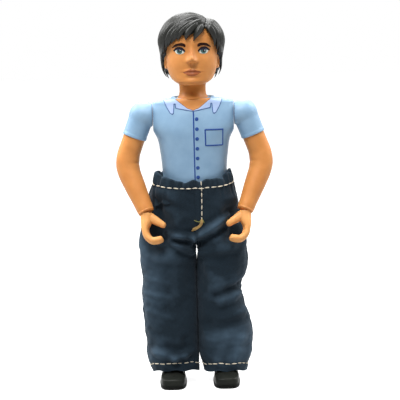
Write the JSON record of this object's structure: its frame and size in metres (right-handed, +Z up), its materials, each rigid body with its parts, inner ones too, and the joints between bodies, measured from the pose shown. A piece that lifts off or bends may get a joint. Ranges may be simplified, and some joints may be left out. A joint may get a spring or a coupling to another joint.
{
  "type": "articulated doll figure",
  "caption": "Standing plastic doll of a man with turning head, swinging arms, gripping hands and hinged legs, in a moulded shirt, sewn cloth jeans and black shoes.",
  "frame": {"origin": "on the floor under the middle of the figure's box", "axes": "+Z up, the figure faces -Y, its own left side is +X"},
  "size_m": [0.063, 0.0294, 0.15],
  "materials": {
    "skin": "satin skin-coloured plastic",
    "shirt": "satin light-blue plastic with printed lines",
    "hair": "semi-gloss near-black plastic",
    "denim": "dark washed twill with contrast stitching",
    "shoe": "semi-gloss black plastic",
    "pin": "plain plastic pin"
  },
  "bodies": {
    "torso": {"torso_front": "shirt", "torso_back": "shirt", "neck": "skin", "hip_axle": "pin", "jeans_seat": "denim"},
    "head": {"head": "skin", "hair": "hair"},
    "left_arm": {"left_arm": "skin"},
    "left_hand": {"left_hand": "skin"},
    "left_thigh": {"left_thigh": "skin", "left_knee_pin": "pin", "jeans_left_thigh": "denim"},
    "left_shin": {"left_shin": "skin", "left_shoe": "shoe", "jeans_left_shin": "denim"},
    "right_arm": {"right_arm": "skin"},
    "right_hand": {"right_hand": "skin"},
    "right_thigh": {"right_thigh": "skin", "right_knee_pin": "pin", "jeans_right_thigh": "denim"},
    "right_shin": {"right_shin": "skin", "right_shoe": "shoe", "jeans_right_shin": "denim"}
  },
  "joints": [
    {"name": "head_turn", "type": "hinge", "parent": "torso", "child": "head", "pos_m": [0, 0.00035, 0.1224], "axis": [0, 0, 1], "continuous": true},
    {"name": "left_shoulder", "type": "hinge", "parent": "torso", "child": "left_arm", "pos_m": [0.0164, 0.00035, 0.1097], "axis": [-1, 0, 0], "range_deg": [0, 270]},
    {"name": "right_shoulder", "type": "hinge", "parent": "torso", "child": "right_arm", "pos_m": [-0.0164, 0.00035, 0.1097], "axis": [-1, 0, 0], "range_deg": [0, 270]},
    {"name": "left_wrist", "type": "hinge", "parent": "left_arm", "child": "left_hand", "pos_m": [0.0196, -0.00765, 0.0713], "axis": [0.3735, 0.36, 0.8549], "range_deg": [0, 180]},
    {"name": "right_wrist", "type": "hinge", "parent": "right_arm", "child": "right_hand", "pos_m": [-0.0196, -0.00765, 0.0713], "axis": [0.3735, -0.36, -0.8549], "range_deg": [0, 180]},
    {"name": "left_hip", "type": "hinge", "parent": "torso", "child": "left_thigh", "pos_m": [0.0066, 0.00035, 0.06], "axis": [-1, 0, 0], "range_deg": [-20, 90], "deforming": ["jeans_seat", "jeans_left_thigh"]},
    {"name": "right_hip", "type": "hinge", "parent": "torso", "child": "right_thigh", "pos_m": [-0.0066, 0.00035, 0.06], "axis": [-1, 0, 0], "range_deg": [-20, 90], "deforming": ["jeans_seat", "jeans_right_thigh"]},
    {"name": "left_knee", "type": "hinge", "parent": "left_thigh", "child": "left_shin", "pos_m": [0.0088, 0.00035, 0.033], "axis": [1, 0, 0], "range_deg": [0, 90], "deforming": ["jeans_left_thigh", "jeans_left_shin"]},
    {"name": "right_knee", "type": "hinge", "parent": "right_thigh", "child": "right_shin", "pos_m": [-0.0088, 0.00035, 0.033], "axis": [1, 0, 0], "range_deg": [0, 90], "deforming": ["jeans_right_thigh", "jeans_right_shin"]}
  ]
}
